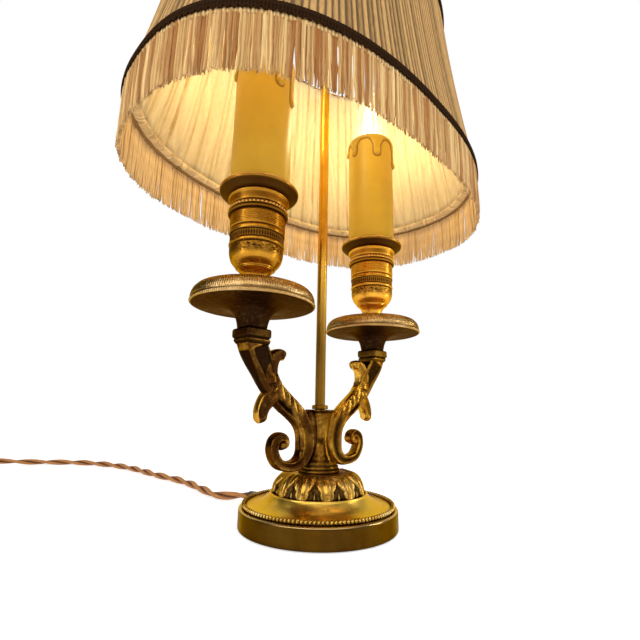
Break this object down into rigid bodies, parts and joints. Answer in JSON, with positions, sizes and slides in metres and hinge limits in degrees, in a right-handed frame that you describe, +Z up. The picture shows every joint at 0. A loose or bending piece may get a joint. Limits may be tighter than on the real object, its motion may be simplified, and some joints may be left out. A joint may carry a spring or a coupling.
{
  "type": "table lamp",
  "caption": "Table lamp with scrolled arms, drip dishes and candle sleeves round a rod that carries an oval pleated fringed shade on a sliding collar, with its cord, inline switch and plug.",
  "frame": {"origin": "the middle of the base's underside, on the surface that the lamp stands on", "axes": "+Z up along the rod, +X along the right arm, +Y towards the back, where the cord leaves the base"},
  "size_m": [0.408, 0.5432, 0.492],
  "materials": {
    "gilt_brass": "aged gilt brass, dark in the recesses",
    "polished_brass": "polished lacquered brass",
    "gilt_wire": "brassed steel wire",
    "steel": "plain steel",
    "cast_iron": "raw casting",
    "felt": "dark green felt",
    "ceramic": "glazed white",
    "pleated_silk": "narrow beige pleats",
    "lining_silk": "pale cream, pleated",
    "fringe_silk": "cream and gold cut fringe",
    "dark_braid": "very dark brown scalloped braid",
    "candle_sleeve": "ochre, with wax drips",
    "clear_glass": "clear, lit",
    "cord_silk": "salmon brown twisted cord",
    "tie_strap": "black strap",
    "bakelite": "dark brown moulding",
    "rocker_cream": "cream moulding",
    "wire_insulation": "fabric covered"
  },
  "bodies": {
    "stand": {"felt_pad": "felt", "bottom_plate": "steel", "base_weight": "cast_iron", "base_drum": "gilt_brass", "bead_ring": "gilt_brass", "base_moulding": "polished_brass", "leaf_dome": "gilt_brass", "column": "gilt_brass", "foot_nut": "polished_brass", "rod": "polished_brass", "tie_washer": "steel", "tie_nut": "steel", "connector_block": "ceramic", "finial": "polished_brass", "cord_relief": "bakelite", "cord_inlet": "cord_silk", "cord_lead": "cord_silk", "cord_coil": "cord_silk", "cord_link": "cord_silk", "cord_tail": "cord_silk", "coil_tie": "tie_strap", "switch_base": "bakelite", "switch_cover": "bakelite", "plug_body": "bakelite", "plug_pin_a": "polished_brass", "plug_pin_b": "polished_brass", "right_arm": "gilt_brass", "right_nipple": "steel", "right_drip_dish": "gilt_brass", "right_candle_cup": "polished_brass", "right_drip_plate": "polished_brass", "right_candle_sleeve": "candle_sleeve", "right_lampholder": "ceramic", "right_bulb_cap": "polished_brass", "right_bulb_glass": "clear_glass", "right_wire": "wire_insulation", "left_arm": "gilt_brass", "left_nipple": "steel", "left_drip_dish": "gilt_brass", "left_candle_cup": "polished_brass", "left_drip_plate": "polished_brass", "left_candle_sleeve": "candle_sleeve", "left_lampholder": "ceramic", "left_bulb_cap": "polished_brass", "left_bulb_glass": "clear_glass", "left_wire": "wire_insulation"},
    "collar": {"collar": "polished_brass", "hub_nut": "polished_brass"},
    "shade": {"shade_cover": "pleated_silk", "shade_lining": "lining_silk", "lower_braid": "dark_braid", "upper_braid": "dark_braid", "fringe": "fringe_silk", "shade_frame": "gilt_wire", "shade_spider": "gilt_wire"},
    "thumb_screw": {"thumb_screw": "polished_brass"},
    "switch_rocker": {"switch_rocker": "rocker_cream"}
  },
  "joints": [
    {"name": "shade_slide", "type": "slide", "parent": "stand", "child": "collar", "axis": [0, 0, 1], "range_m": [-0.03, 0.022]},
    {"name": "shade_turn", "type": "hinge", "parent": "collar", "child": "shade", "pos_m": [0, 0, 0.4305], "axis": [0, 0, 1], "range_deg": [-60, 60]},
    {"name": "thumb_screw_turn", "type": "hinge", "parent": "collar", "child": "thumb_screw", "pos_m": [0, -0.01, 0.4237], "axis": [0, 1, 0], "range_deg": [-180, 180]},
    {"name": "rocker_switch", "type": "hinge", "parent": "stand", "child": "switch_rocker", "pos_m": [-0.152, 0.43019, 0.0126], "axis": [0, -1, 0], "range_deg": [0, 14]}
  ]
}
